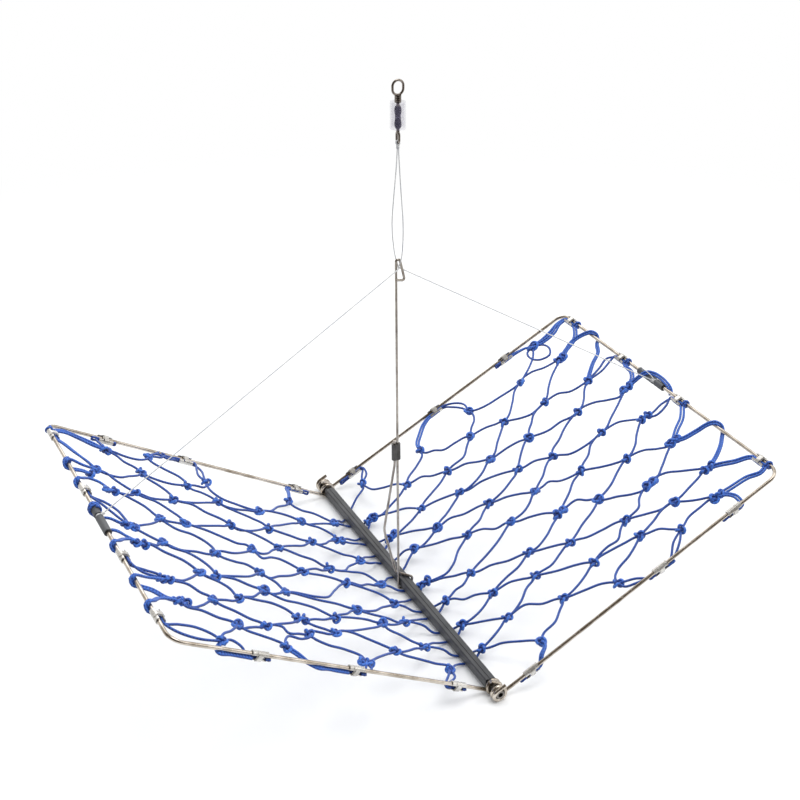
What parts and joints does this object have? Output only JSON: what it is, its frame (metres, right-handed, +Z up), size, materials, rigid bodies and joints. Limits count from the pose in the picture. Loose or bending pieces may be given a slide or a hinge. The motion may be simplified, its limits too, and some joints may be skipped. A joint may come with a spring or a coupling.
{
  "type": "folding crab trap",
  "caption": "Folding crab trap: two hinged wire leaves strung with blue net close like a clam when the line through the stem's eye is pulled.",
  "frame": {"origin": "surface that the trap stands on, under the middle of the spine, the line and swivel left out", "axes": "+X across the open leaves, towards the right leaf; +Y along the hinge, towards the far end; +Z up along the stem"},
  "size_m": [0.4466, 0.3054, 0.3852],
  "materials": {
    "frame_wire": "bright drawn stainless wire",
    "stem_wire": "darker drawn spring wire",
    "ferrule": "dull crimped metal",
    "spine_tube": "dark grey satin extrusion",
    "hinge_rod": "plain steel tube",
    "net_twine": "royal blue braided nylon twine",
    "clip_sheet": "bright folded sheet",
    "line_sleeve": "soft grey plastic tube",
    "line": "thin white fishing line",
    "swivel_wire": "polished swivel wire",
    "swivel_barrel": "black swivel barrel",
    "clear_sleeve": "clear plastic tube"
  },
  "bodies": {
    "spine": {"spine_tube": "spine_tube", "hinge_rod": "hinge_rod", "stem_wire": "stem_wire", "stem_ferrule": "ferrule"},
    "left_leaf": {"left_frame_wire": "frame_wire", "left_net": "net_twine", "left_net_clips": "clip_sheet", "left_line_sleeves": "line_sleeve", "left_line_loop": "line"},
    "right_leaf": {"right_frame_wire": "frame_wire", "right_net": "net_twine", "right_net_clips": "clip_sheet", "right_line_sleeves": "line_sleeve", "right_line_loop": "line"},
    "left_line": {"left_pull_line_upper": "line"},
    "left_line_end": {"left_pull_line_lower": "line"},
    "right_line": {"right_pull_line_upper": "line"},
    "right_line_end": {"right_pull_line_lower": "line"},
    "lift": {"swivel_lower_eye": "swivel_wire", "left_lift_line": "line", "right_lift_line": "line", "lift_line_knot": "line"},
    "barrel": {"swivel_barrel": "swivel_barrel", "swivel_sleeve": "clear_sleeve"},
    "top_ring": {"swivel_ring": "swivel_wire"}
  },
  "joints": [
    {"name": "left_leaf_hinge", "type": "hinge", "parent": "spine", "child": "left_leaf", "pos_m": [0, 0, 0.00588], "axis": [0, 1, 0], "range_deg": [-22.3, 57.5]},
    {"name": "right_leaf_hinge", "type": "hinge", "parent": "spine", "child": "right_leaf", "pos_m": [0, 0, 0.00588], "axis": [0, -1, 0], "range_deg": [-22.3, 57.5]},
    {"name": "left_line_turn", "type": "hinge", "parent": "spine", "child": "left_line", "pos_m": [-0.0006, 0.0045, 0.255], "axis": [0, 1, 0], "range_deg": [-11.15, 28.75]},
    {"name": "left_line_slide", "type": "slide", "parent": "left_line", "child": "left_line_end", "axis": [0.8495, 0, 0.5276], "range_m": [-0.0874, 0.225], "deforming": ["left_pull_line_upper", "left_pull_line_lower"]},
    {"name": "right_line_turn", "type": "hinge", "parent": "spine", "child": "right_line", "pos_m": [0.0004, 0.0075, 0.255], "axis": [0, -1, 0], "range_deg": [-11.15, 28.75]},
    {"name": "right_line_slide", "type": "slide", "parent": "right_line", "child": "right_line_end", "axis": [-0.8497, 0, 0.5272], "range_m": [-0.0874, 0.225], "deforming": ["right_pull_line_upper", "right_pull_line_lower"]},
    {"name": "lift_slide", "type": "slide", "parent": "spine", "child": "lift", "axis": [0, 0, 1], "range_m": [-0.0771, 0.1985], "deforming": ["left_lift_line", "right_lift_line"]},
    {"name": "barrel_swivel", "type": "hinge", "parent": "lift", "child": "barrel", "pos_m": [-0.0005, 0.006, 0.3601], "axis": [0, 0, 1], "continuous": true},
    {"name": "ring_swivel", "type": "hinge", "parent": "barrel", "child": "top_ring", "pos_m": [-0.0005, 0.006, 0.3601], "axis": [0, 0, 1], "continuous": true}
  ],
  "couplings": [
    {"joint": "right_leaf_hinge", "follows": "left_leaf_hinge", "ratio": 1},
    {"joint": "left_line_turn", "follows": "left_leaf_hinge", "ratio": 0.5},
    {"joint": "left_line_slide", "follows": "left_leaf_hinge", "m_per_rad": 0.224},
    {"joint": "right_line_turn", "follows": "left_leaf_hinge", "ratio": 0.5},
    {"joint": "right_line_slide", "follows": "left_leaf_hinge", "m_per_rad": 0.224},
    {"joint": "lift_slide", "follows": "left_leaf_hinge", "m_per_rad": 0.1976}
  ]
}
